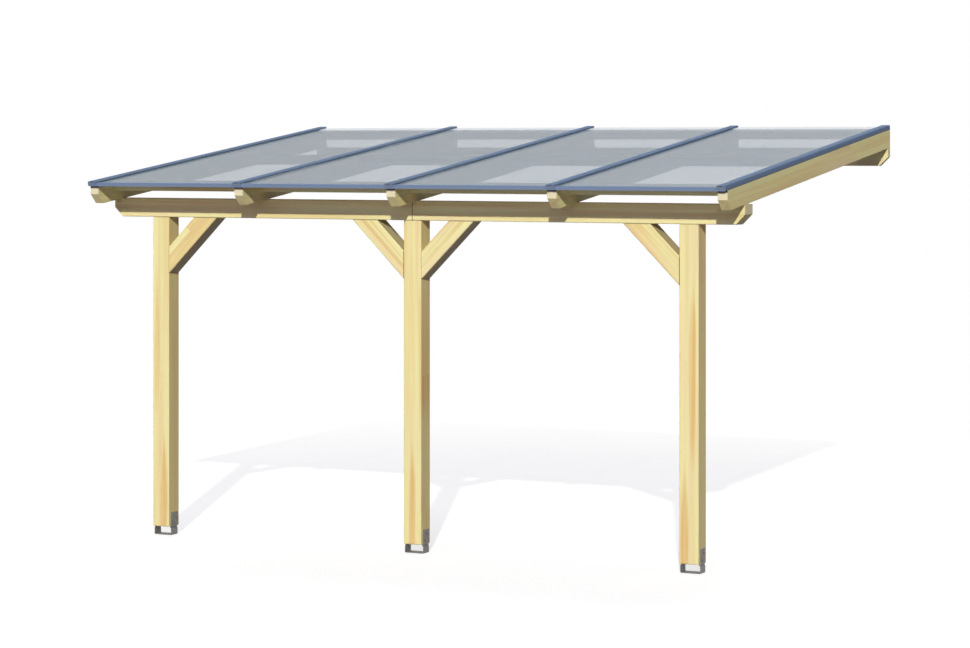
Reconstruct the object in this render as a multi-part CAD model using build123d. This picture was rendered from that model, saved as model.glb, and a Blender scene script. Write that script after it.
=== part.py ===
# Attached patio cover: a lean-to roof of glued timber and twin-wall sheet that is fixed to a
# house wall at the back and stands on three posts at the front.
# Millimetres. +X runs along the wall, +Y towards the wall, +Z up. The origin is on the ground,
# at the middle of the underside of the middle post anchor.
from build123d import *
import math
import os

# Overall layout
roof_width = 4340.0          # over the outer faces of the outer rafters
bay_count = 4                # bays between the rafters
front_overhang = 277.0       # rafter end ahead of the front beam
wall_distance = 2648.0       # front face of the front beam to the wall
slope_deg = 7.0              # fall of the roof towards the front
head_room = 2036.0           # ground to the underside of the front beam

# Posts and their knee braces
post_side = 120.0
post_setback = 350.0         # beam end to the middle of an outer post
post_lift = 56.0             # ground to the end of a post
brace_leg = 358.0            # reach of a knee brace along the post and along the beam
brace_width = 120.0
arris = 4.0                  # planed bevel along the edges of posts, beams and braces

# Front beam and wall purlin, each in two lengths that meet over the middle post
beam_side = 120.0
beam_end_cut = 60.0          # sloping cut at the lower corner of the free ends
purlin_height = 120.0
purlin_depth = 40.0
purlin_end_cut = 60.0

# Rafters
rafter_width = 60.0
rafter_depth = 120.0         # square to the slope
rafter_nose_height = 55.0    # upright part of the front end
rafter_nose_cut = 60.0       # length of the sloping cut below it
seat_depth = 4.0             # notch over the front edge of the beam
rafter_arris = 3.0           # planed bevel along the lower edges

# Battens between the rafters
batten_side = 60.0
eave_batten_setback = 178.0  # from the rafter's front end, along the slope
middle_batten_setback = 1478.0

# Rubber seals under and over the edges of the sheets
seal_thickness = 3.0
seal_base = 1.5              # plain part of the band, under its ridges
seal_ridges = 6
ridge_width = 4.0
lip_width = 8.0
lip_thickness = 4.0

# Twin-wall roof sheets
sheet_thickness = 16.0
sheet_gap = 16.0             # between neighbouring sheets, over the middle of a rafter
skin = 1.0
rib = 1.0
rib_pitch = 31.0
end_clearance = 2.0          # sheet end to the web of the eave profile

# Aluminium cover strips over the rafters
strip_width = 60.0
strip_wall = 2.0
strip_crown = 5.0            # rise of the middle over the shoulders
strip_bevel = 5.0            # width of the sloping shoulders
strip_hook = 1.5             # thickness of the hooks that hold the lips
strip_overhang = 29.0        # ahead of the rafter, along the slope
stop_height = 24.0           # turned-down front end that keeps the sheet from sliding
edge_play = 0.5              # strip edge above the eave profile

# Aluminium profile that closes the front ends of the sheets
profile_wall = 1.5
profile_leg = 25.0
profile_drip = 3.0           # drip edge below the lower leg
drain_hole = 8.0             # through the lower leg, for the water in the sheets' channels
drain_spacing = 250.0        # at most
profile_play = 0.5           # behind the strips' turned-down ends

# Bent steel post anchors
anchor_width = 70.0
anchor_steel = 5.0
anchor_reach = 90.0          # side plate up the post
shoulder_height = 12.0       # inward step that carries the post
anchor_bend = 8.0            # outer bend radius at the ground
anchor_hole = 14.0           # for the bolts into the ground
anchor_hole_spacing = 70.0
side_hole = 11.0             # for the screws into the post
side_hole_heights = (25.0, 65.0)      # above the foot of the post
side_hole_stagger = 14.0     # either side of the plate's middle

# Worked out from the sizes above
slope = math.radians(slope_deg)
bay = (roof_width - rafter_width) / bay_count
beam_front = -beam_side / 2
beam_back = beam_side / 2
beam_top = head_room + beam_side
wall_y = beam_front + wall_distance
rafter_front = beam_front - front_overhang
rafter_plumb = rafter_depth / math.cos(slope)
roof_length = (wall_y - rafter_front) / math.cos(slope)


def rafter_under(y):
    """Height of the rafters' underside at a distance y."""
    return beam_top - seat_depth + (y - beam_front) * math.tan(slope)


rafter_top_front = rafter_under(rafter_front) + rafter_plumb
purlin_top = rafter_under(wall_y)
roof_plane = Location((0, rafter_front, rafter_top_front), (slope_deg, 0, 0))
sheet_under = seal_thickness
sheet_over = sheet_under + sheet_thickness
strip_under = sheet_over + lip_thickness
strip_foot = sheet_over + profile_wall + edge_play

parts = {}


def block(x, y, z):
    """A box between two values along each axis."""
    size = (x[1] - x[0], y[1] - y[0], z[1] - z[0])
    return Pos(x[0], y[0], z[0]) * Box(*size, align=(Align.MIN, Align.MIN, Align.MIN))


def along_x(points, x):
    """An outline in Y and Z, drawn out between two values of X."""
    face = Plane.YZ.offset(x[0]) * make_face(Polyline(*points, close=True))
    return extrude(face, x[1] - x[0], dir=(1, 0, 0))


def along_y(points, y):
    """An outline in X and Z, drawn out between two values of Y."""
    outline = Polyline(*[(px, y[0], pz) for px, pz in points], close=True)
    return extrude(make_face(outline), y[1] - y[0], dir=(0, 1, 0))


def bevelled(timber, axis, size):
    """Bevels the four long edges of a timber that runs along an axis."""
    edges = timber.edges().filter_by(axis)
    longest = max(edge.length for edge in edges)
    return chamfer(edges.filter_by(lambda edge: edge.length > longest / 2), size)


def on_roof(piece):
    """Lays a piece drawn as (across, up the slope, square to it) on the rafters' top."""
    return roof_plane * piece


# Posts, square glued timber, their ends bevelled as well
outer_post = roof_width / 2 - post_setback
post_places = {"left": -outer_post, "middle": 0.0, "right": outer_post}
half_post = post_side / 2
for side, x in post_places.items():
    post = block((x - half_post, x + half_post), (-half_post, half_post), (post_lift, head_room))
    parts["post_" + side] = chamfer(post.edges(), arris)


# Post anchors, one flat steel bent into a stirrup, with an inward step under the post
def post_anchor():
    """The stirrup about X = 0, standing on the ground."""
    inner = half_post
    outer = inner + anchor_steel
    top = post_lift + anchor_reach
    step_low = post_lift - shoulder_height
    outline = [
        (outer, 0), (outer, step_low), (inner, step_low + anchor_steel), (inner, post_lift - anchor_steel),
        (outer, post_lift), (outer, top), (inner, top), (inner, post_lift),
        (inner - anchor_steel, post_lift), (inner - anchor_steel, step_low), (inner, step_low),
        (inner, anchor_steel)]
    mirrored = [(-px, pz) for px, pz in reversed(outline)]
    stirrup = along_y(outline + mirrored, (-anchor_width / 2, anchor_width / 2))
    corners = stirrup.edges().filter_by(Axis.Y).filter_by(
        lambda e: e.center().Z < 0.001 and abs(abs(e.center().X) - outer) < 0.001)
    stirrup = fillet(corners, anchor_bend)
    bends = stirrup.edges().filter_by(Axis.Y).filter_by(
        lambda e: abs(e.center().Z - anchor_steel) < 0.001 and abs(abs(e.center().X) - inner) < 0.001)
    stirrup = fillet(bends, anchor_bend - anchor_steel)
    for x in (-anchor_hole_spacing / 2, anchor_hole_spacing / 2):
        stirrup -= Pos(x, 0, anchor_steel / 2) * Cylinder(anchor_hole / 2, 2 * anchor_steel)
    for height, y in zip(side_hole_heights, (-side_hole_stagger, side_hole_stagger)):
        drill = Rot(0, 90, 0) * Cylinder(side_hole / 2, 2 * outer + anchor_steel)
        stirrup -= Pos(0, y, post_lift + height) * drill
    return stirrup


for side, x in post_places.items():
    parts["post_anchor_" + side] = Pos(x, 0, 0) * post_anchor()


# Front beam and wall purlin, their free ends cut back at the lower corner
def long_timber(reach, bottom, top, cut, y):
    """One length from the middle to X = reach, seen from the front."""
    sign = math.copysign(1, reach)
    outline = [(0, bottom), (reach - sign * cut, bottom), (reach, bottom + cut), (reach, top), (0, top)]
    return bevelled(along_y(outline, y), Axis.X, arris)


for side, sign in (("left", -1), ("right", 1)):
    reach = sign * roof_width / 2
    parts["front_beam_" + side] = long_timber(
        reach, head_room, beam_top, beam_end_cut, (beam_front, beam_back))
    parts["wall_purlin_" + side] = long_timber(
        reach, purlin_top - purlin_height, purlin_top, purlin_end_cut, (wall_y - purlin_depth, wall_y))


# Knee braces at 45 degrees, flush with the posts and the beam
def knee_brace(x, sign):
    """A brace from a post's side at X = x to the underside of the beam."""
    inner_leg = brace_leg - brace_width * math.sqrt(2)
    outline = [
        (x, head_room - brace_leg), (x + sign * brace_leg, head_room),
        (x + sign * inner_leg, head_room), (x, head_room - inner_leg)]
    brace = along_y(outline, (-half_post, half_post))
    return chamfer(brace.edges().filter_by(lambda edge: abs(edge.tangent_at(0).Z) > 0.1)
                   .filter_by(lambda edge: abs(edge.tangent_at(0).X) > 0.1), arris)


parts["knee_brace_left"] = knee_brace(post_places["left"] + half_post, 1)
parts["knee_brace_middle_left"] = knee_brace(-half_post, -1)
parts["knee_brace_middle_right"] = knee_brace(half_post, 1)
parts["knee_brace_right"] = knee_brace(post_places["right"] - half_post, -1)


# Rafters, notched over the front beam and seated level on the wall purlin
def rafter(x):
    """One rafter about X = x."""
    nose_foot = rafter_front + rafter_nose_cut
    seat_end = beam_front + seat_depth / math.tan(slope)
    purlin_front = wall_y - purlin_depth
    outline = [
        (rafter_front, rafter_top_front), (rafter_front, rafter_top_front - rafter_nose_height),
        (nose_foot, rafter_under(nose_foot)), (beam_front, rafter_under(beam_front)),
        (beam_front, beam_top), (seat_end, beam_top),
        (purlin_front, rafter_under(purlin_front)), (purlin_front, purlin_top),
        (wall_y, purlin_top), (wall_y, purlin_top + rafter_plumb)]
    timber = along_x(outline, (x - rafter_width / 2, x + rafter_width / 2))
    under = [(nose_foot, beam_front), (seat_end, purlin_front)]
    lower_edges = [
        edge for edge in timber.edges()
        if any(abs(edge.center().Y - (a + b) / 2) < 1 and edge.length > b - a for a, b in under)
        and abs(edge.center().Z - rafter_under(edge.center().Y)) < 1]
    return chamfer(lower_edges, rafter_arris)


rafter_places = [-roof_width / 2 + rafter_width / 2 + bay * k for k in range(bay_count + 1)]
for k, x in enumerate(rafter_places, 1):
    parts[f"rafter_{k}"] = rafter(x)

# Battens between the rafters: one behind the eave, one in the middle and one against the wall
wall_batten_setback = roof_length - batten_side * math.tan(slope) - batten_side
middle_battens = []
for k in range(1, bay_count + 1):
    x = (rafter_places[k - 1] + rafter_width / 2, rafter_places[k] - rafter_width / 2)
    eave, middle, wall = [
        on_roof(block(x, (setback, setback + batten_side), (seal_thickness - batten_side, seal_thickness)))
        for setback in (eave_batten_setback, middle_batten_setback, wall_batten_setback)]
    parts[f"eave_batten_{k}"] = eave
    parts[f"wall_batten_{k}"] = wall
    middle_battens.append(middle)
parts["middle_battens"] = Compound(children=middle_battens)


# Cover strips with sloping shoulders, and their rubber seals
strip_span = (-strip_overhang, roof_length)
strip_half = strip_width / 2
shoulder = strip_under + strip_wall
strip_top = shoulder + strip_crown
profile_front = strip_span[0] + strip_wall + profile_play
profile_back = profile_front + profile_leg


def half_strip(foot):
    """The right half of the section, from the middle of the top to the middle below."""
    leg = strip_half - strip_wall
    hook = leg - lip_width
    channel = hook - strip_hook
    return [
        (0, strip_top), (strip_half - strip_bevel, strip_top), (strip_half, shoulder), (strip_half, foot),
        (leg, foot), (leg, strip_under), (hook, strip_under), (hook, strip_foot), (channel, strip_foot),
        (channel, strip_under), (channel - strip_crown, strip_under + strip_crown),
        (0, strip_under + strip_crown)]


def cover_strip(x, edge):
    """One strip about X = x; edge is -1 or 1 where its outer side closes the sheets' edge."""
    right = half_strip(sheet_under if edge == 1 else strip_foot)
    left = half_strip(sheet_under if edge == -1 else strip_foot)
    outline = right[:-1] + [(-px, pn) for px, pn in reversed(left[1:])]
    strip = along_y(outline, strip_span)
    front = (strip_span[0], strip_span[0] + strip_wall)
    stop = block((-strip_half, strip_half), front, (strip_top - stop_height, shoulder))
    return on_roof(Pos(x, 0, 0) * (strip + stop))


def rafter_seal(x, edge):
    """The ridged band between rafter and sheet, and the lips between sheet and strip."""
    half = rafter_width / 2
    pitch = (rafter_width - ridge_width) / (seal_ridges - 1)
    outline = [(half, 0), (-half, 0)]
    for i in range(seal_ridges):
        start = pitch * i - half
        outline += [(start, seal_base), (start, seal_thickness)]
        outline += [(start + ridge_width, seal_thickness), (start + ridge_width, seal_base)]
    outline = outline[:2] + outline[3:-1]
    solids = [along_y(outline, (0, roof_length))]
    for side in (-1, 1):
        if side != edge:
            outer = side * (strip_half - strip_wall)
            across = sorted((outer - side * lip_width, outer))
            solids.append(block(across, (profile_back, roof_length), (sheet_over, strip_under)))
    return Compound(children=[on_roof(Pos(x, 0, 0) * solid) for solid in solids])


for k, x in enumerate(rafter_places, 1):
    edge = {1: -1, bay_count + 1: 1}.get(k, 0)
    parts[f"cover_strip_{k}"] = cover_strip(x, edge)
    parts[f"rafter_seal_{k}"] = rafter_seal(x, edge)

# Aluminium profiles along the eave, one to a bay, closing the sheets' front ends
web_back = profile_front + profile_wall
leg_under = sheet_under - profile_wall
profile_outline = [
    (profile_front, leg_under - profile_drip), (web_back, leg_under - profile_drip),
    (web_back, leg_under), (profile_back, leg_under), (profile_back, sheet_under),
    (web_back, sheet_under), (web_back, sheet_over), (profile_back, sheet_over),
    (profile_back, sheet_over + profile_wall), (profile_front, sheet_over + profile_wall)]
for k in range(1, bay_count + 1):
    low = -roof_width / 2 + strip_wall if k == 1 else rafter_places[k - 1]
    high = roof_width / 2 - strip_wall if k == bay_count else rafter_places[k]
    profile = along_x(profile_outline, (low, high))
    drains = math.ceil((high - low) / drain_spacing)
    for i in range(drains):
        x = low + (high - low) * (i + 0.5) / drains
        profile -= Pos(x, web_back + drain_hole / 2, leg_under) * Cylinder(drain_hole / 2, 4 * profile_wall)
    parts[f"eave_profile_{k}"] = on_roof(profile)


# Twin-wall sheets: two skins joined by ribs that run down the slope
def roof_sheet(x):
    """One sheet between two values of X, open at both ends of its channels."""
    span = (web_back + end_clearance, roof_length)
    sheet = block(x, span, (sheet_under, sheet_over))
    width = x[1] - x[0]
    channels = round((width - rib) / rib_pitch)
    pitch = (width - rib) / channels
    hollow = [
        block((x[0] + rib + pitch * i, x[0] + pitch * (i + 1)), span, (sheet_under + skin, sheet_over - skin))
        for i in range(channels)]
    return on_roof(sheet - hollow)


for k in range(1, bay_count + 1):
    parts[f"roof_sheet_{k}"] = roof_sheet(
        (rafter_places[k - 1] + sheet_gap / 2, rafter_places[k] - sheet_gap / 2))

os.makedirs("parts", exist_ok=True)
for name, shape in parts.items():
    export_step(shape, f"parts/{name}.step")
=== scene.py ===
import math

import bmesh
import bpy
from mathutils import Matrix, Vector


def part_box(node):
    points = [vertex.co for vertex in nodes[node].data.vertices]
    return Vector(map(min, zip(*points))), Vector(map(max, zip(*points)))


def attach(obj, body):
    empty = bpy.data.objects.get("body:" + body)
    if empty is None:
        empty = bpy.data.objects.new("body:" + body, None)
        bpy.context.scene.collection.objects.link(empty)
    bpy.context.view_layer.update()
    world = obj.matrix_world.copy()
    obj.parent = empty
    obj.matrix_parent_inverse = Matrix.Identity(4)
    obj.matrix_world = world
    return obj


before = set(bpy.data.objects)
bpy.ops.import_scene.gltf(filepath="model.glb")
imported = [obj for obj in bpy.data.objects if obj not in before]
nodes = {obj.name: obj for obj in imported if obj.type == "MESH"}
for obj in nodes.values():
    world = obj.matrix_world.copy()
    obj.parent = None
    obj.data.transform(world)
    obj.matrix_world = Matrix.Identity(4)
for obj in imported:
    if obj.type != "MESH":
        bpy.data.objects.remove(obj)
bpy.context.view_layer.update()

# Post anchors: flat steel bent into stirrups and hot-dip galvanised, which leaves a dull coat of
# zinc crystals. The posts stand on their inward steps, and two coach screws with washers hold
# each side plate to its post.
zinc_dark = (0.150, 0.142, 0.132, 1)
zinc_pale = (0.300, 0.285, 0.270, 1)
zinc_crystal = 0.009
zinc_relief = 0.00008
screw_heights = (0.025, 0.065)         # above the foot of the post
screw_stagger = 0.014                  # either side of the plate's middle
hex_flats = 0.013
hex_height = 0.0055
hex_bevel = (0.0009, 0.0008)           # inset of the top, and its rise after that
hex_dish = (0.0016, -0.0004)
washer_radius = 0.0115
washer_thickness = 0.002
washer_bevel = 0.0004


class Signal:
    """A shader socket. Arithmetic on it adds Math nodes, and node() adds any other node."""

    def __init__(self, tree, socket=None):
        self.tree = tree
        self.socket = socket

    def node(self, kind, settings=None, sockets=None, outlet=0):
        """Adds a node: its settings first, then the values or links of its sockets."""
        added = self.tree.nodes.new("ShaderNode" + kind)
        for name, value in (settings or {}).items():
            setattr(added, name, value)
        for name, value in (sockets or {}).items():
            if isinstance(value, Signal):
                self.tree.links.new(value.socket, added.inputs[name])
            else:
                added.inputs[name].default_value = value
        return Signal(self.tree, added.outputs[outlet] if len(added.outputs) else None)

    def outlet(self, name):
        """Another outlet of the same node."""
        return Signal(self.tree, self.socket.node.outputs[name])

    def math(self, operation, *values):
        return self.node("Math", {"operation": operation}, dict(enumerate(values)))

    def __add__(self, other):
        return self.math("ADD", self, other)

    def __sub__(self, other):
        return self.math("SUBTRACT", self, other)

    def __rsub__(self, other):
        return self.math("SUBTRACT", other, self)

    def __mul__(self, other):
        return self.math("MULTIPLY", self, other)

    def __truediv__(self, other):
        return self.math("DIVIDE", self, other)

    def __mod__(self, other):
        return self.math("FLOORED_MODULO", self, other)

    def __gt__(self, other):
        return self.math("GREATER_THAN", self, other)

    def __abs__(self):
        return self.math("ABSOLUTE", self)

    __radd__ = __add__
    __rmul__ = __mul__

    def floor(self):
        return self.math("FLOOR", self)

    def root(self):
        return self.math("SQRT", self)

    def largest(self, other):
        return self.math("MAXIMUM", self, other)

    def moved(self, x, y, z):
        """This point with values or signals added to its coordinates."""
        step = self.node("CombineXYZ", {}, {0: x, 1: y, 2: z})
        return self.node("VectorMath", {"operation": "ADD"}, {0: self, 1: step})

    def stretched(self, x, y, z):
        """This point with its three coordinates multiplied."""
        return self.node("VectorMath", {"operation": "MULTIPLY"}, {0: self, 1: (x, y, z)})

    def length(self):
        return self.node("VectorMath", {"operation": "LENGTH"}, {0: self}, "Value")

    def split(self):
        """The three coordinates of this point, or the three parts of this colour."""
        parts = self.node("SeparateXYZ", {}, {0: self})
        return parts, parts.outlet("Y"), parts.outlet("Z")

    def noise(self, scale, detail=2.0):
        """Soft random values from 0 to 1 about this point."""
        return self.node("TexNoise", {}, {"Vector": self, "Scale": scale, "Detail": detail})

    def chances(self):
        """Three random values from 0 to 1 that stay the same while this number does."""
        return self.node("TexWhiteNoise", {"noise_dimensions": "1D"}, {"W": self}, "Color").split()

    def between(self, low, high):
        """Rises smoothly from 0 at low to 1 at high."""
        return self.node("MapRange", {"interpolation_type": "SMOOTHSTEP"},
                         {"Value": self, "From Min": low, "From Max": high})

    def blend(self, first, second):
        """The first colour where this is 0 and the second where it is 1."""
        return self.node("Mix", {"data_type": "RGBA"}, {0: self, 6: first, 7: second}, 2)

    def surface(self, height, depth, sockets):
        """Ends a material: a bump from a height in shares of its depth, and the surface."""
        bump = self.node("Bump", {}, {"Height": height, "Distance": depth, "Strength": 1.0})
        shell = self.node("BsdfPrincipled", {}, {**sockets, "Normal": bump})
        self.node("OutputMaterial", {}, {"Surface": shell})


def new_finish(name):
    """An empty material, and the point on the object from which its pattern starts."""
    finish = bpy.data.materials.new(name)
    finish.use_nodes = True
    finish.node_tree.nodes.clear()
    return finish, Signal(finish.node_tree).node("TexCoord", {}, {}, "Object")


def dress(names, finish):
    """Gives CAD nodes a finish."""
    for name in names:
        for held in nodes[name].material_slots:
            held.material = finish


zinc, place = new_finish("galvanised_steel")
crystal = place.node(
    "TexVoronoi", {}, {"Vector": place, "Scale": 1 / zinc_crystal}, "Color").split()[0]
cloud = place.noise(14.0, 3.0)
stain = place.stretched(1.0, 1.0, 0.35).noise(45.0, 4.0).between(0.52, 0.75)
zinc_shade = (crystal * 0.35 + cloud * 0.8 - 0.05 - stain * 0.25).blend(zinc_dark, zinc_pale)
place.surface(crystal * 0.3 + place.noise(900.0), zinc_relief, {
    "Base Color": zinc_shade, "Metallic": 0.55, "Roughness": 0.48 + cloud * 0.22})
dress([name for name in nodes if name.startswith("post_anchor")], zinc)


def start_shaping(piece):
    """Opens a piece in edit mode, with nothing selected and faces to be picked."""
    bpy.ops.object.select_all(action="DESELECT")
    piece.select_set(True)
    bpy.context.view_layer.objects.active = piece
    bpy.ops.object.mode_set(mode="EDIT")
    bpy.ops.mesh.select_mode(type="FACE")
    bpy.ops.mesh.select_all(action="DESELECT")


def pick_faces(piece, chosen):
    """Selects the faces that pass a test, and no others."""
    bpy.ops.mesh.select_all(action="DESELECT")
    shape = bmesh.from_edit_mesh(piece.data)
    for face in shape.faces:
        face.select_set(bool(chosen(face)))
    bmesh.update_edit_mesh(piece.data)


def turned_disc(sides, radius, rim, steps):
    """A round or six-sided piece that stands on the ground: its straight rim, and then an
    inset and a rise of its top for each step."""
    bpy.ops.object.select_all(action="DESELECT")
    bpy.ops.mesh.primitive_cylinder_add(
        vertices=sides, radius=radius, depth=rim, location=(0, 0, rim / 2))
    piece = bpy.context.object
    bpy.ops.object.transform_apply(location=True, rotation=True, scale=True)
    start_shaping(piece)
    top = rim
    for inset, rise in steps:
        pick_faces(piece, lambda face: face.normal.z > 0.9
                   and (face.calc_center_median() - Vector((0, 0, top))).length < 1e-6)
        bpy.ops.mesh.inset(thickness=inset)
        if rise:
            bpy.ops.mesh.extrude_region_move(TRANSFORM_OT_translate={"value": (0, 0, rise)})
            top += rise
    bpy.ops.object.mode_set(mode="OBJECT")
    return piece


def join_pieces(pieces, name):
    """Makes one piece of several."""
    bpy.ops.object.select_all(action="DESELECT")
    for piece in pieces:
        piece.select_set(True)
    bpy.context.view_layer.objects.active = pieces[0]
    if len(pieces) > 1:
        bpy.ops.object.join()
    joined = bpy.context.object
    joined.name = joined.data.name = name
    return joined


def set_out(pattern, name, places, finish):
    """Copies a pattern to each place, as one piece that rides on the frame."""
    copies = []
    for i, spot in enumerate(places):
        copy = bpy.data.objects.new(f"{name}_{i}", pattern.data.copy())
        copy.data.transform(spot)
        bpy.context.scene.collection.objects.link(copy)
        copies.append(copy)
    piece = join_pieces(copies, name)
    piece.data.materials.clear()
    piece.data.materials.append(finish)
    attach(piece, "root")


hex_corner = hex_flats / math.sqrt(3)
screw_washer = turned_disc(
    32, washer_radius, washer_thickness - washer_bevel, [(washer_bevel, washer_bevel)])
screw_head = turned_disc(6, hex_corner, hex_height - hex_bevel[1], [hex_bevel, hex_dish])
screw_head.data.transform(Matrix.Translation((0, 0, washer_thickness)))
coach_screw = join_pieces([screw_washer, screw_head], "coach_screw_pattern")

for side in ("left", "middle", "right"):
    low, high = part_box("post_anchor_" + side)
    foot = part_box("post_" + side)[0].z
    spots = []
    for face, outward in ((low.x, -1), (high.x, 1)):
        for height, stagger in zip(screw_heights, (-screw_stagger, screw_stagger)):
            spots.append(Matrix.Translation((face, stagger, foot + height))
                         @ Matrix.Rotation(outward * math.pi / 2, 4, "Y"))
    set_out(coach_screw, "anchor_screws_" + side, spots, zinc)
bpy.data.objects.remove(coach_screw)

# Posts: planed square timber, glued up from three layers of spruce. Pale cream wood with broad
# orange bands that wander along it, fine year rings, and end grain at the foot.
cream_wood = (0.92, 0.86, 0.45, 1)
straw_wood = (0.91, 0.80, 0.38, 1)
peach_wood = (0.90, 0.70, 0.42, 1)
orange_wood = (0.80, 0.53, 0.20, 1)
ring_wood = (0.70, 0.46, 0.17, 1)
end_wood = (0.86, 0.79, 0.55, 1)
end_ring_wood = (0.60, 0.47, 0.26, 1)
knot_wood = (0.36, 0.17, 0.06, 1)
# painted shade for the braces' upper and lower faces
painted_shade_wood = (0.38, 0.33, 0.21, 1)
seam_shade = (0.18, 0.135, 0.08, 1)
seam_reach = (0.0026, 0.0014)          # from the seam between two timbers: none, and full
glued_layers = 3
glue_line = 0.0005
board_length = 11.0                    # between the finger joints of one layer
finger_length = 0.015
finger_pitch = 0.0062
knot_spacing = (0.80, 0.11, 0.11)      # along the grain and across it
knot_chance = 0.62                     # share of the places that stay free of knots
knot_growth = 0.016
knot_rim = 0.0012
pith_beside = 0.09                     # how far from the board its pith may lie
pith_below = 0.15
pith_drift = 0.06                      # how far it wanders along the board
heart_drift = 0.035
ring_ripple = 0.010
ring_width = 0.0026                    # of the narrowest years
ring_spread = 0.0018                   # and what the widest have more
wood_relief = 0.00022


def timber_finish(name, centre, turn, depth, layers, seed, figured=1.0, laid_bands=(), seams=(),
                  painted_face_shade=0.0):
    """Glued or solid timber. The turn lays its grain along X and its layers on each other in Z.
    Figured is how strongly heartwood bands it. A laid band is one tapered streak of it, and on
    the front beam the upper one is painted shade: its place along and up, its half length and
    half width, and its strength. A seam is a plane in which the next timber meets it: 0, 1 or 2
    for X, Y or Z, and its place on that axis. Painted face shade is how far its upper and lower
    faces are darkened to grey brown, which is painted shade."""
    finish, place = new_finish(name)
    sides = place.split()
    place = place.node("VectorMath", {"operation": "SUBTRACT"}, {0: place, 1: centre})
    place = place.node("Mapping", {}, {"Vector": place, "Rotation": turn})
    along, across, up = place.split()

    # Layers, and the boards that are finger-jointed end to end in each
    stacked = up / (depth / layers) + layers / 2
    layer = stacked.floor()
    inside = up - (layer - (layers - 1) / 2) * (depth / layers)
    fingers = abs((across / finger_pitch) % 1.0 - 0.5) * (2 * finger_length)
    start = (layer * 3.7 + seed).chances()[0]
    board = ((along + fingers) / board_length + start * 3).floor()
    tone, pith_side, pith_depth = (layer * 13.7 + board * 5.3 + seed).chances()
    figure = place.moved(layer * 5.1 + seed, board * 2.3, tone * 9)

    # Knots: small and sound, with the rings flowing round them
    cells = figure.stretched(*[1 / size for size in knot_spacing])
    nearest = cells.node(
        "TexVoronoi", {}, {"Vector": cells, "Scale": 1.0, "Randomness": 0.8}, "Position")
    offset = nearest.node("VectorMath", {"operation": "SUBTRACT"}, {0: nearest, 1: cells})
    knot_gap = offset.stretched(*knot_spacing).length()
    knot_size = (nearest.outlet("Color").split()[0] - knot_chance) * knot_growth
    knot = (knot_size - knot_gap).between(-knot_rim, knot_rim)
    flow = (knot_gap / (knot_size.largest(0.0) * 2 + 0.004)).between(1.6, 0.3)

    # Year rings about a pith that lies outside most boards and wanders along them
    drift = along.node(
        "TexNoise", {"noise_dimensions": "1D"},
        {"W": along * 0.8 + layer * 7 + seed, "Scale": 1.0, "Detail": 1.0}, "Color").split()
    beside = across - (pith_side - 0.5) * pith_beside + (drift[0] - 0.5) * pith_drift
    below = inside - (pith_depth - 0.5) * pith_below + (drift[1] - 0.5) * pith_drift
    ripple = figure.stretched(2.2, 20.0, 20.0).noise(1.0, 2.0) * ring_ripple
    radius = (beside * beside + below * below).root() + ripple + flow * 0.004
    growth = (radius / (ring_width + tone * ring_spread)) % 1.0
    ring = growth.between(0.35, 0.86) * growth.between(1.0, 0.93)

    # Broad bands of heartwood, narrower streaks in them, and fibres
    streak = figure.stretched(0.9, 48.0, 48.0).noise(1.0, 1.5).between(0.46, 0.70)
    band = figure.stretched(0.50, 15.0, 15.0).noise(1.0, 0.8).between(0.50, 0.63) * figured
    # On the front beam the upper band is painted shade under the roof, in the heartwood colour.
    for spot, height, reach, width, strength in laid_bands:
        one_band = place.moved(-spot, 0.0, (drift[2] - 0.5) * heart_drift - height)
        one_band = one_band.stretched(1 / reach, 0.0, 1 / width).length().between(1.0, 0.45)
        band = band.largest(one_band * (0.8 + streak * 0.4) * strength)
    blush = figure.stretched(0.9, 11.0, 11.0).moved(31.0, 7.0, 3.0)
    blush = blush.noise(1.0, 1.0).between(0.50, 0.66)
    shadow = figure.stretched(0.6, 30.0, 30.0).moved(3.0, 57.0, 11.0).noise(1.0, 1.0)
    fibre = figure.stretched(14.0, 620.0, 620.0).noise(1.0, 2.0)
    facing = place.node("TexCoord", {}, {}, "Normal")
    facing = facing.node(
        "Mapping", {"vector_type": "VECTOR"}, {"Vector": facing, "Rotation": turn}).split()
    end = abs(facing[0]).between(0.80, 0.95)

    shade = (tone * 0.6 + shadow * 0.3).blend(cream_wood, straw_wood)
    shade = (blush * 0.55).blend(shade, peach_wood)
    shade = (band * (0.70 + streak * 0.25) + streak * 0.10).blend(shade, orange_wood)
    shade = (ring * (0.10 + band * 0.14)).blend(shade, ring_wood)
    shade = (end * 0.92).blend(shade, (ring * 0.35 + band * 0.2).blend(end_wood, end_ring_wood))
    shade = knot.blend(shade, knot_wood)
    if layers > 1:
        joint = abs(stacked % 1.0 - 0.5)
        shade = ((joint > 0.5 - glue_line * layers / depth) * 0.30).blend(shade, ring_wood)
    # painted shade: the upper and lower faces made darker and greyer
    if painted_face_shade:
        shade = (abs(facing[2]).between(0.80, 0.95) * painted_face_shade).blend(shade, painted_shade_wood)
    for axis, spot in seams:
        shade = abs(sides[axis] - spot).between(*seam_reach).blend(shade, seam_shade)
    vein = place.node("CombineXYZ", {}, {
        0: 0.88 + fibre * 0.10 + shadow * 0.14, 1: 0.865 + fibre * 0.12 + shadow * 0.15,
        2: 0.84 + fibre * 0.15 + shadow * 0.16})
    shade = shade.node("VectorMath", {"operation": "MULTIPLY"}, {0: shade, 1: vein})
    place.surface(ring * 0.4 + fibre * 0.6 - end * fibre * 0.3, wood_relief, {
        "Base Color": shade, "Roughness": 0.70 - ring * 0.10 + end * 0.12,
        "Specular IOR Level": 0.3})
    return finish


def middle(name):
    """The middle of a CAD node's box."""
    low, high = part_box(name)
    return (low + high) / 2


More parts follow.
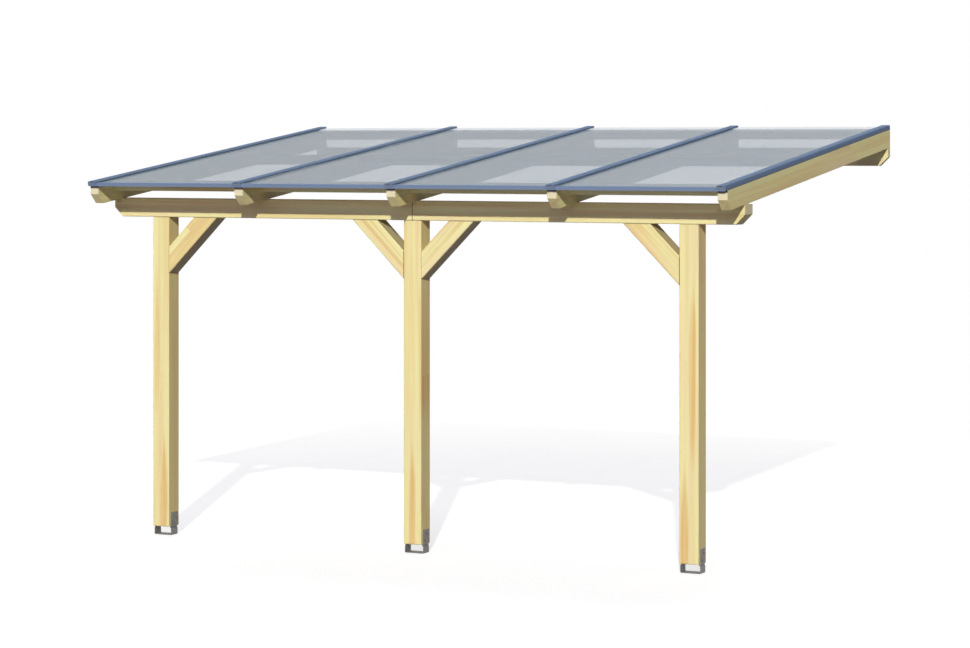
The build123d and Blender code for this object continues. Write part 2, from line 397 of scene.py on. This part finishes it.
grain_up = (0.0, math.pi / 2, 0.0)     # turns that lay the grain along the pattern's X
post_hearts = {
    "left": ((0.16, 0.032, 0.62, 0.019, 0.95), (-0.86, -0.024, 0.54, 0.034, 1.25)),
    "middle": ((0.20, -0.047, 0.58, 0.018, 0.95), (-0.86, 0.000, 0.56, 0.032, 1.25)),
    "right": ((0.10, -0.026, 0.68, 0.025, 1.0), (-0.88, 0.026, 0.54, 0.032, 1.25))}
post_figure = 0.30
beam_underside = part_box("front_beam_left")[0].z
for i, (side, laid_bands) in enumerate(post_hearts.items()):
    name = "post_" + side
    low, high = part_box(name)
    dress([name], timber_finish(
        "spruce_" + name, middle(name), grain_up, high.x - low.x, glued_layers, 11 + 7 * i,
        post_figure, laid_bands, [(2, beam_underside)]))

# Front beam: the same glued timber laid along the eave in two lengths, which meet over the
# middle post. Its free ends are cut back below, so their end grain shows.
grain_along_wall = (0.0, 0.0, 0.0)
beam_figure = 0.45
# Upper band: painted shade along the top of the front, under the roof. Lower: a narrow darker
# band.
beam_shade_bands = ((0.0, 0.044, 3.0, 0.026, 0.40), (0.0, -0.034, 3.0, 0.010, 0.30))
for i, side in enumerate(("left", "right")):
    name = "front_beam_" + side
    low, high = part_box(name)
    dress([name], timber_finish(
        "spruce_" + name, middle(name), grain_along_wall, high.z - low.z, glued_layers,
        41 + 9 * i, beam_figure, beam_shade_bands, [(0, high.x if side == "left" else low.x)]))

# Knee braces: short lengths of the post's timber, cut at 45 degrees and let in flush, with painted
# shade darkening their upper and lower faces. Two countersunk screws at each end are driven
# slantwise through the rear face, out of sight.
brace_lean = {"left": 1, "middle_left": -1, "middle_right": 1, "right": -1}
brace_depth = 0.120
brace_figure = 0.75
# how strongly painted shade darkens the braces' upper and lower faces
brace_painted_shade = 0.75
brace_screw_radius = 0.0060
brace_screw_rim = 0.0004
brace_screw_steps = ((0.0004, 0.0003), (0.0030, 0.0), (0.0001, -0.0006))
brace_screw_inset = 0.070              # from the brace's ends, along its middle line
brace_screw_spread = 0.028             # either side of that line
steel_dark = (0.30, 0.30, 0.29, 1)
steel_pale = (0.62, 0.61, 0.58, 1)
steel_relief = 0.00004

stainless, place = new_finish("stainless_steel")
brushing = place.noise(420.0, 3.0)
place.surface(brushing, steel_relief, {
    "Base Color": brushing.blend(steel_dark, steel_pale), "Metallic": 0.9,
    "Roughness": 0.28 + brushing * 0.2})

countersunk = turned_disc(24, brace_screw_radius, brace_screw_rim, brace_screw_steps)
for i, (side, lean) in enumerate(brace_lean.items()):
    name = "knee_brace_" + side
    low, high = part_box(name)
    along_brace = Vector((lean, 0, 1)).normalized()
    over_brace = Vector((-lean, 0, 1)).normalized()
    centre = middle(name) + over_brace * (brace_depth / 2)
    grain_along_brace = (0.0, math.pi / 2 - lean * math.pi / 4, 0.0)
    dress([name], timber_finish(
        "spruce_" + name, centre, grain_along_brace, brace_depth, glued_layers, 71 + 5 * i,
        brace_figure, (), [(0, low.x if lean > 0 else high.x), (2, high.z)], brace_painted_shade))
    centre.y = high.y
    reach = (high.z - low.z) / math.sqrt(2) - brace_depth / 2 - brace_screw_inset
    spots = []
    for end in (-1, 1):
        for row in (-1, 1):
            spot = centre + along_brace * (end * reach) + over_brace * (row * brace_screw_spread)
            spots.append(Matrix.Translation(spot) @ Matrix.Rotation(-math.pi / 2, 4, "X"))
    set_out(countersunk, "brace_screws_" + side, spots, stainless)
bpy.data.objects.remove(countersunk)

# Wall purlin: a flat timber in two lengths along the wall, which carries the rafters' upper
# ends. Washer-head screws in the middle of each bay hold it to the wall.
wall_screw_spread = 0.030
wall_screw_radius = 0.011
wall_screw_rim = 0.0012
wall_screw_steps = ((0.0012, 0.0010), (0.0052, 0.0), (0.0002, -0.0016))
flat_head = turned_disc(24, wall_screw_radius, wall_screw_rim, wall_screw_steps)
for i, side in enumerate(("left", "right")):
    name = "wall_purlin_" + side
    low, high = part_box(name)
    dress([name], timber_finish(
        "spruce_" + name, middle(name), grain_along_wall, high.z - low.z, 1, 97 + 9 * i))
    spots = []
    for bay in ((1, 2) if side == "left" else (3, 4)):
        x = (middle(f"rafter_{bay}").x + middle(f"rafter_{bay + 1}").x) / 2
        for step in (-wall_screw_spread, wall_screw_spread):
            spots.append(Matrix.Translation((x + step, low.y, middle(name).z + step))
                         @ Matrix.Rotation(math.pi / 2, 4, "X"))
    set_out(flat_head, "wall_screws_" + side, spots, stainless)
bpy.data.objects.remove(flat_head)

# Rafters: five planed timbers on edge that fall towards the eave, notched over the beam and
# cut back under the nose.
slope = math.radians(7)
rafter_depth = 0.120
rafter_figure = 0.40
grain_down_slope = (-slope, 0.0, -math.pi / 2)
for k in range(1, 6):
    name = f"rafter_{k}"
    dress([name], timber_finish(
        "spruce_" + name, middle(name), grain_down_slope, rafter_depth, glued_layers,
        131 + 6 * k, rafter_figure))

# Battens: square timber between the rafters, behind the eave, in the middle and at the wall,
# which carries the sheets. The middle row is one node, so one finish runs through it.
batten_side = 0.060
grain_along_batten = (-slope, 0.0, 0.0)
batten_seeds = {f"eave_batten_{k}": 170 + 4 * k for k in range(1, 5)}
batten_seeds |= {f"wall_batten_{k}": 200 + 4 * k for k in range(1, 5)}
batten_seeds |= {"middle_battens": 230}
for name, seed in batten_seeds.items():
    dress([name], timber_finish(
        "spruce_" + name, middle(name), grain_along_batten, batten_side, 1, seed))

# Seals: extruded black rubber, ridged under the sheets and plain lips above them. A black rubber
# flap on each rafter's end grain, under the strip's end, is painted shadow. The rubber is matt,
# with dust in its grooves.
rubber_black = (0.018, 0.018, 0.019, 1)
rubber_dusty = (0.050, 0.050, 0.048, 1)
rubber_relief = 0.00003
rubber, place = new_finish("seal_rubber")
dust = place.noise(22.0, 4.0).between(0.4, 0.8)
place.surface(place.noise(1500.0), rubber_relief, {
    "Base Color": dust.blend(rubber_black, rubber_dusty), "Roughness": 0.62 + dust * 0.2,
    "Specular IOR Level": 0.2})
dress([f"rafter_seal_{k}" for k in range(1, 6)], rubber)

# The flap's black stands where the eave casts its shadow on each rafter end: painted shadow.
flap_width = 0.060
flap_top = 0.003                       # above the rafter's top, and below it
flap_foot = 0.012
flap_thickness = 0.003
flap_bevel = 0.0008
flap_rim = 0.0015
flap_sink = 0.0006
bpy.ops.object.select_all(action="DESELECT")
bpy.ops.mesh.primitive_cube_add(
    size=1.0, location=(0, -flap_thickness / 2, (flap_top - flap_foot) / 2),
    scale=(flap_width, flap_thickness, flap_top + flap_foot))
shadow_flap = bpy.context.object
bpy.ops.object.transform_apply(location=True, rotation=True, scale=True)
start_shaping(shadow_flap)
pick_faces(shadow_flap, lambda face: face.normal.y < -0.9)
bpy.ops.mesh.bevel(offset=flap_bevel, segments=2, affect="EDGES")
pick_faces(shadow_flap, lambda face: face.normal.y < -0.99)
bpy.ops.mesh.inset(thickness=flap_rim)
bpy.ops.mesh.extrude_region_move(TRANSFORM_OT_translate={"value": (0, flap_sink, 0)})
bpy.ops.object.mode_set(mode="OBJECT")
spots = []
for k in range(1, 6):
    low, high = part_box(f"rafter_{k}")
    nose = Vector((middle(f"rafter_{k}").x, low.y, high.z - (high.y - low.y) * math.tan(slope)))
    spots.append(Matrix.Translation(nose) @ Matrix.Rotation(slope, 4, "X"))
set_out(shadow_flap, "shadow_flaps", spots, rubber)
bpy.data.objects.remove(shadow_flap)

# Roof sheets: extruded clear twin-wall plastic with a blue-grey tint. Seen flat its two skins
# close up, seen square they are clear, and the ribs between them stay faint.
sheet_tint = (0.54, 0.68, 0.80, 1)
sheet_haze = (0.61, 0.74, 0.85, 1)
cut_edge = (0.62, 0.70, 0.75, 1)
skin_square = 0.18                     # share of light that one face of a skin keeps back
skin_flat = 0.17                       # and what it keeps back more, seen flat
rib_face = 0.03
cut_face = 0.45
sun_kept = 0.50                        # share of straight sunlight that one face scatters
saw_depth = 0.001
sheet_relief = 0.0002
clear_sheet, place = new_finish("twin_wall_sheet")
sheet_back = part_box("roof_sheet_1")[1].y
saw_cut = place.split()[1] > sheet_back - saw_depth
on_rib = abs(place.node("TexCoord", {}, {}, "Normal").split()[0]) > 0.5
haze = place.stretched(1.4, 0.8, 0.8).noise(1.0, 2.0)
flat_view = place.node("LayerWeight", {}, {"Blend": 0.5}, "Facing").between(0.05, 0.50)
skin_kept = skin_square + flat_view * skin_flat
kept = skin_kept + on_rib * (rib_face - skin_kept)
kept = kept + place.node("LightPath", {}, {}, "Is Shadow Ray") * (sun_kept - kept)
place.surface(haze, sheet_relief, {
    "Base Color": saw_cut.blend(haze.blend(sheet_tint, sheet_haze), cut_edge),
    "Roughness": 0.10 + haze * 0.06 + saw_cut * 0.4, "Alpha": kept + saw_cut * cut_face,
    "IOR": 1.45, "Specular IOR Level": 0.12})
dress([f"roof_sheet_{k}" for k in range(1, 5)], clear_sheet)

# Eave profiles and cover strips: extruded aluminium, anodised in a blue grey, with fine lines
# along the extrusion. The strips hook over the seals' lips and turn down at the eave.
eave_deep = (0.150, 0.200, 0.300, 1)
eave_pale = (0.195, 0.255, 0.370, 1)
strip_deep = (0.126, 0.163, 0.230, 1)
strip_pale = (0.164, 0.208, 0.288, 1)
anodised_edge = (0.20, 0.27, 0.41, 1)  # of its reflection, seen flat
anodised_relief = 0.00003


def anodised_finish(name, deep, pale, fine):
    """Anodised aluminium with its drawing lines along one axis; fine holds the scale on each."""
    finish, place = new_finish(name)
    lines = place.stretched(*fine).noise(1.0, 3.0)
    wear = place.noise(3.0, 4.0)
    place.surface(lines, anodised_relief, {
        "Base Color": (lines * 0.5 + wear * 0.5).blend(deep, pale), "Metallic": 0.75,
        "Roughness": 0.38 + lines * 0.12 + wear * 0.08, "Specular IOR Level": 0.1,
        "Specular Tint": anodised_edge})
    return finish


lengthwise = anodised_finish("anodised_eave", eave_deep, eave_pale, (1.5, 900.0, 900.0))
dress([f"eave_profile_{k}" for k in range(1, 5)], lengthwise)
downhill = anodised_finish("anodised_strip", strip_deep, strip_pale, (900.0, 1.5, 12.0))
dress([f"cover_strip_{k}" for k in range(1, 6)], downhill)

# Strip screws: stainless domed heads on rubber washers, down the middle of each cover strip,
# into the rafter below.
strip_screw_count = 8
strip_screw_end = 0.12                 # from the ends of the strip
strip_rise = 0.030                     # top of the strip above the rafter's top
dome_radius = 0.0058
dome_rim = 0.0010
dome_steps = ((0.0010, 0.0011), (0.0016, 0.0006), (0.0010, 0.0), (0.0001, -0.0010))
ring_radius = 0.0080
ring_rim = 0.0008
ring_bevel = 0.0005                    # as an inset and as a rise
ring_height = ring_rim + ring_bevel

rubber_ring = turned_disc(24, ring_radius, ring_rim, [(ring_bevel, ring_bevel)])
dome = turned_disc(20, dome_radius, dome_rim, dome_steps)
uphill = Vector((0, math.cos(slope), math.sin(slope)))
for k in range(1, 6):
    low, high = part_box(f"cover_strip_{k}")
    top = Vector(((low.x + high.x) / 2, high.y - strip_rise * math.sin(slope), high.z))
    length = (high.y - low.y) / math.cos(slope)
    step = (length - 2 * strip_screw_end) / (strip_screw_count - 1)
    spots = []
    for i in range(strip_screw_count):
        spot = top - uphill * (strip_screw_end + step * i)
        spots.append(Matrix.Translation(spot) @ Matrix.Rotation(slope, 4, "X"))
    set_out(rubber_ring, f"strip_washers_{k}", spots, rubber)
    lifted = [spot @ Matrix.Translation((0, 0, ring_height)) for spot in spots]
    set_out(dome, f"strip_screws_{k}", lifted, stainless)
bpy.data.objects.remove(rubber_ring)
bpy.data.objects.remove(dome)

# Stage: a pale floor that keeps the cover's soft shadow and fades into a white backdrop, a key
# lamp from the front right, a broad weak one from the front and one from behind.
key_turn = 23.4                        # to the right of the front, degrees
key_height = 27.3                      # above the horizon, degrees
key_strength = 2.74
key_colour = (1.0, 1.0, 0.90)
key_spread = 1.0                       # across the lamp, degrees
front_turn = -4.0
front_height = 12.0
front_strength = 0.60
front_spread = 60.0
front_colour = (1.0, 0.95, 1.25)
back_height = 52.0
back_strength = 1.0
back_spread = 40.0
ambient = (0.080, 0.074, 0.108, 1)
floor_bounce = (0.170, 0.157, 0.196, 1)  # what the floor sends back to the cover
floor_seen = (0.46, 0.46, 0.46, 1)
floor_glow = 0.73
floor_size = 400.0
floor_drop = 0.0005                    # below the anchors, so that the two faces don't meet
fade_start = 4.0                       # from the middle post
fade_end = 9.0


def seen_straight(start):
    """1 for what the camera, gloss and glass show, and 0 for light on its way to a surface."""
    path = start.node("LightPath")
    return path.largest(path.outlet("Is Glossy Ray")).largest(path.outlet("Is Transmission Ray"))


bpy.ops.object.select_all(action="DESELECT")
bpy.ops.mesh.primitive_plane_add(size=floor_size, location=(0, 0, -floor_drop))
floor = bpy.context.object
floor.name = "stage_floor"
floor_finish, place = new_finish("pale_floor")
seen = seen_straight(place)
away = place.length().between(fade_start, fade_end)
matt = place.node("BsdfDiffuse", {}, {"Color": floor_seen})
glow = place.node("Emission", {}, {"Strength": floor_glow})
near_floor = place.node("AddShader", {}, {0: matt, 1: glow})
white = place.node("Emission", {}, {"Strength": 1.0})
shown = place.node("MixShader", {}, {0: away, 1: near_floor, 2: white})
plain = place.node("BsdfDiffuse", {}, {"Color": floor_bounce})
either = place.node("MixShader", {}, {0: seen, 1: plain, 2: shown})
place.node("OutputMaterial", {}, {"Surface": either})
floor.data.materials.append(floor_finish)

world = bpy.data.worlds.new("studio")
bpy.context.scene.world = world
world.use_nodes = True
world.node_tree.nodes.clear()
air = Signal(world.node_tree)
sky = air.node("Background", {}, {"Color": seen_straight(air).blend(ambient, (1.0, 1.0, 1.0, 1))})
air.node("OutputWorld", {}, {"Surface": sky})


def lamp(name, turn, height, strength, spread, colour=(1.0, 1.0, 1.0)):
    """A distant lamp; turn and height are in degrees from the front and above the horizon."""
    bpy.ops.object.light_add(type="SUN", location=(0, 0, 6))
    made = bpy.context.object
    made.name = name
    made.rotation_euler = (math.radians(90 - height), 0, math.radians(turn))
    made.data.energy = strength
    made.data.angle = math.radians(spread)
    made.data.color = colour


lamp("key_lamp", key_turn, key_height, key_strength, key_spread, key_colour)
lamp("front_lamp", front_turn, front_height, front_strength, front_spread, front_colour)
lamp("back_lamp", key_turn + 180, back_height, back_strength, back_spread)

# Camera: level, to the right of the cover and at about the height of its roof.
camera_place = (7.996, -15.1495, 2.5086)
camera_turn = 26.43                    # degrees
camera_lens = 103.72                   # both in millimetres
sensor_width = 36.0
camera_sight = 500.0
image_width = 970
image_height = 648
horizon_row = 143.04                   # from the top of the picture

bpy.ops.object.camera_add(
    location=camera_place, rotation=(math.pi / 2, 0, math.radians(camera_turn)))
camera = bpy.context.object
camera.data.sensor_width = sensor_width
camera.data.lens = camera_lens
camera.data.shift_y = (horizon_row - image_height / 2) / image_width
camera.data.clip_end = camera_sight
bpy.context.scene.camera = camera
bpy.context.scene.view_settings.view_transform = "Standard"
